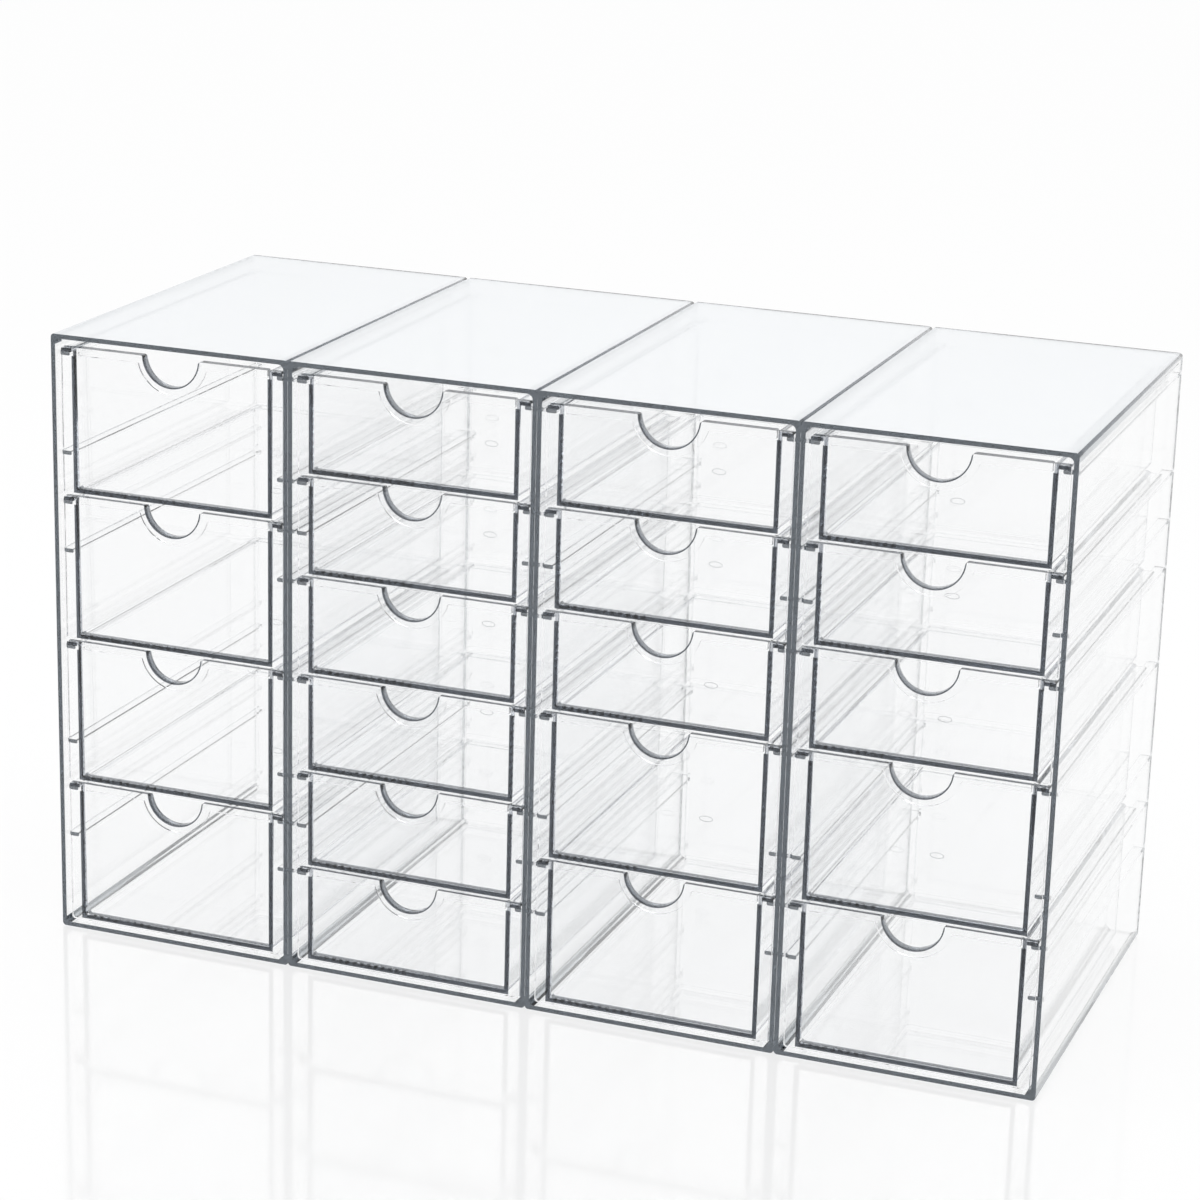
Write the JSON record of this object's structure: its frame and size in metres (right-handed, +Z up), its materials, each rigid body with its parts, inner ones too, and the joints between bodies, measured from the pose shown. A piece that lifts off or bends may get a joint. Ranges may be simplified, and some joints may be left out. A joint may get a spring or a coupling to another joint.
{
  "type": "craft stamp storage drawers",
  "caption": "Row of clear moulded casings with pull-out drawers in two heights, each with a finger notch, for stamps and small craft supplies.",
  "frame": {"origin": "middle of the floor face of the row of casings", "axes": "+Z up, the drawer fronts face -Y, +X to the right of someone facing them"},
  "size_m": [0.5522, 0.235, 0.335],
  "materials": {
    "clear_casing": "clear polished polystyrene",
    "clear_drawer": "clear polished polystyrene"
  },
  "bodies": {
    "casings": {"casing_1": "clear_casing", "casing_2": "clear_casing", "casing_3": "clear_casing", "casing_4": "clear_casing"},
    "tall_drawer_1_1": {"tall_drawer_1_1": "clear_drawer"},
    "tall_drawer_1_2": {"tall_drawer_1_2": "clear_drawer"},
    "tall_drawer_1_3": {"tall_drawer_1_3": "clear_drawer"},
    "tall_drawer_1_4": {"tall_drawer_1_4": "clear_drawer"},
    "short_drawer_2_1": {"short_drawer_2_1": "clear_drawer"},
    "short_drawer_2_2": {"short_drawer_2_2": "clear_drawer"},
    "short_drawer_2_3": {"short_drawer_2_3": "clear_drawer"},
    "short_drawer_2_4": {"short_drawer_2_4": "clear_drawer"},
    "short_drawer_2_5": {"short_drawer_2_5": "clear_drawer"},
    "short_drawer_2_6": {"short_drawer_2_6": "clear_drawer"},
    "short_drawer_3_1": {"short_drawer_3_1": "clear_drawer"},
    "short_drawer_3_2": {"short_drawer_3_2": "clear_drawer"},
    "short_drawer_3_3": {"short_drawer_3_3": "clear_drawer"},
    "tall_drawer_3_4": {"tall_drawer_3_4": "clear_drawer"},
    "tall_drawer_3_5": {"tall_drawer_3_5": "clear_drawer"},
    "short_drawer_4_1": {"short_drawer_4_1": "clear_drawer"},
    "short_drawer_4_2": {"short_drawer_4_2": "clear_drawer"},
    "short_drawer_4_3": {"short_drawer_4_3": "clear_drawer"},
    "tall_drawer_4_4": {"tall_drawer_4_4": "clear_drawer"},
    "tall_drawer_4_5": {"tall_drawer_4_5": "clear_drawer"}
  },
  "joints": [
    {"name": "tall_drawer_1_1_slide", "type": "slide", "parent": "casings", "child": "tall_drawer_1_1", "axis": [0, -1, 0], "range_m": [0, 0.17]},
    {"name": "tall_drawer_1_2_slide", "type": "slide", "parent": "casings", "child": "tall_drawer_1_2", "axis": [0, -1, 0], "range_m": [0, 0.17]},
    {"name": "tall_drawer_1_3_slide", "type": "slide", "parent": "casings", "child": "tall_drawer_1_3", "axis": [0, -1, 0], "range_m": [0, 0.17]},
    {"name": "tall_drawer_1_4_slide", "type": "slide", "parent": "casings", "child": "tall_drawer_1_4", "axis": [0, -1, 0], "range_m": [0, 0.17]},
    {"name": "short_drawer_2_1_slide", "type": "slide", "parent": "casings", "child": "short_drawer_2_1", "axis": [0, -1, 0], "range_m": [0, 0.17]},
    {"name": "short_drawer_2_2_slide", "type": "slide", "parent": "casings", "child": "short_drawer_2_2", "axis": [0, -1, 0], "range_m": [0, 0.17]},
    {"name": "short_drawer_2_3_slide", "type": "slide", "parent": "casings", "child": "short_drawer_2_3", "axis": [0, -1, 0], "range_m": [0, 0.17]},
    {"name": "short_drawer_2_4_slide", "type": "slide", "parent": "casings", "child": "short_drawer_2_4", "axis": [0, -1, 0], "range_m": [0, 0.17]},
    {"name": "short_drawer_2_5_slide", "type": "slide", "parent": "casings", "child": "short_drawer_2_5", "axis": [0, -1, 0], "range_m": [0, 0.17]},
    {"name": "short_drawer_2_6_slide", "type": "slide", "parent": "casings", "child": "short_drawer_2_6", "axis": [0, -1, 0], "range_m": [0, 0.17]},
    {"name": "short_drawer_3_1_slide", "type": "slide", "parent": "casings", "child": "short_drawer_3_1", "axis": [0, -1, 0], "range_m": [0, 0.17]},
    {"name": "short_drawer_3_2_slide", "type": "slide", "parent": "casings", "child": "short_drawer_3_2", "axis": [0, -1, 0], "range_m": [0, 0.17]},
    {"name": "short_drawer_3_3_slide", "type": "slide", "parent": "casings", "child": "short_drawer_3_3", "axis": [0, -1, 0], "range_m": [0, 0.17]},
    {"name": "tall_drawer_3_4_slide", "type": "slide", "parent": "casings", "child": "tall_drawer_3_4", "axis": [0, -1, 0], "range_m": [0, 0.17]},
    {"name": "tall_drawer_3_5_slide", "type": "slide", "parent": "casings", "child": "tall_drawer_3_5", "axis": [0, -1, 0], "range_m": [0, 0.17]},
    {"name": "short_drawer_4_1_slide", "type": "slide", "parent": "casings", "child": "short_drawer_4_1", "axis": [0, -1, 0], "range_m": [0, 0.17]},
    {"name": "short_drawer_4_2_slide", "type": "slide", "parent": "casings", "child": "short_drawer_4_2", "axis": [0, -1, 0], "range_m": [0, 0.17]},
    {"name": "short_drawer_4_3_slide", "type": "slide", "parent": "casings", "child": "short_drawer_4_3", "axis": [0, -1, 0], "range_m": [0, 0.17]},
    {"name": "tall_drawer_4_4_slide", "type": "slide", "parent": "casings", "child": "tall_drawer_4_4", "axis": [0, -1, 0], "range_m": [0, 0.17]},
    {"name": "tall_drawer_4_5_slide", "type": "slide", "parent": "casings", "child": "tall_drawer_4_5", "axis": [0, -1, 0], "range_m": [0, 0.17]}
  ]
}
